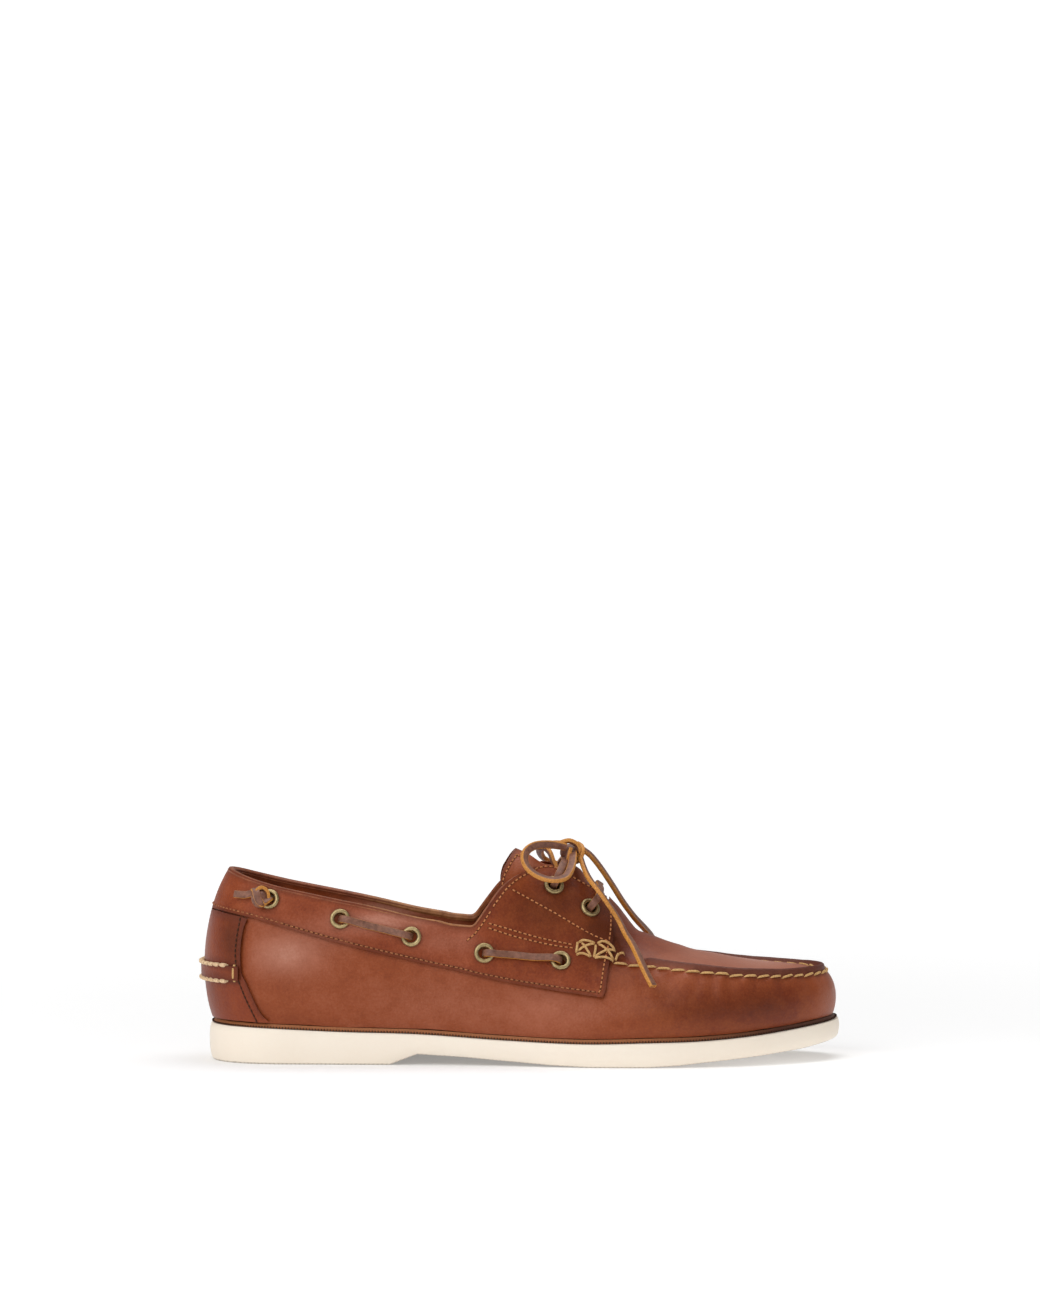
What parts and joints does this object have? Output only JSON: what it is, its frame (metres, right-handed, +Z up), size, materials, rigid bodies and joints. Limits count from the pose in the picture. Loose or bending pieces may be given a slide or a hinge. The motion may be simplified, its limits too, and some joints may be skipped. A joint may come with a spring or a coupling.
{
  "type": "boat shoe",
  "caption": "Right-foot moccasin boat shoe: leather upper with raised toe seam, collar band, tongue, rawhide lace in brass eyelets and a low rubber sole.",
  "frame": {"origin": "the floor point under the middle of the heel seat, where the sole stands", "axes": "+X towards the toe, +Y towards the medial side, +Z up; the lateral side faces -Y"},
  "size_m": [0.3001, 0.1091, 0.1025],
  "materials": {
    "rubber": "cream rubber, matt",
    "rand": "dark brown cut leather edge",
    "sock": "tan lining leather",
    "leather": "oiled red-brown leather, soft sheen",
    "band": "oiled red-brown leather",
    "counter": "dark red-brown leather",
    "tongue": "red-brown leather",
    "brass": "antique brass",
    "rawhide": "rawhide lace with ochre cut edges"
  },
  "bodies": {
    "root": {"collar_band": "band", "eyelet_lateral_1": "brass", "eyelet_lateral_2": "brass", "eyelet_lateral_3": "brass", "eyelet_lateral_4": "brass", "eyelet_lateral_5": "brass", "eyelet_lateral_6": "brass", "eyelet_lateral_7": "brass", "eyelet_medial_1": "brass", "eyelet_medial_2": "brass", "eyelet_medial_3": "brass", "eyelet_medial_4": "brass", "eyelet_medial_5": "brass", "eyelet_medial_6": "brass", "eyelet_medial_7": "brass", "heel_counter": "counter", "insole": "sock", "lace_bar_front_lateral": "rawhide", "lace_bar_front_medial": "rawhide", "lace_bar_rear_lateral": "rawhide", "lace_bar_rear_medial": "rawhide", "lace_crossing_high": "rawhide", "lace_crossing_low": "rawhide", "lace_end_far": "rawhide", "lace_end_near": "rawhide", "lace_knot": "rawhide", "lace_loop_far": "rawhide", "lace_loop_near": "rawhide", "lace_stop_lateral": "rawhide", "lace_stop_medial": "rawhide", "midsole": "rand", "outsole": "rubber", "tongue": "tongue", "upper": "leather"}
  },
  "joints": []
}
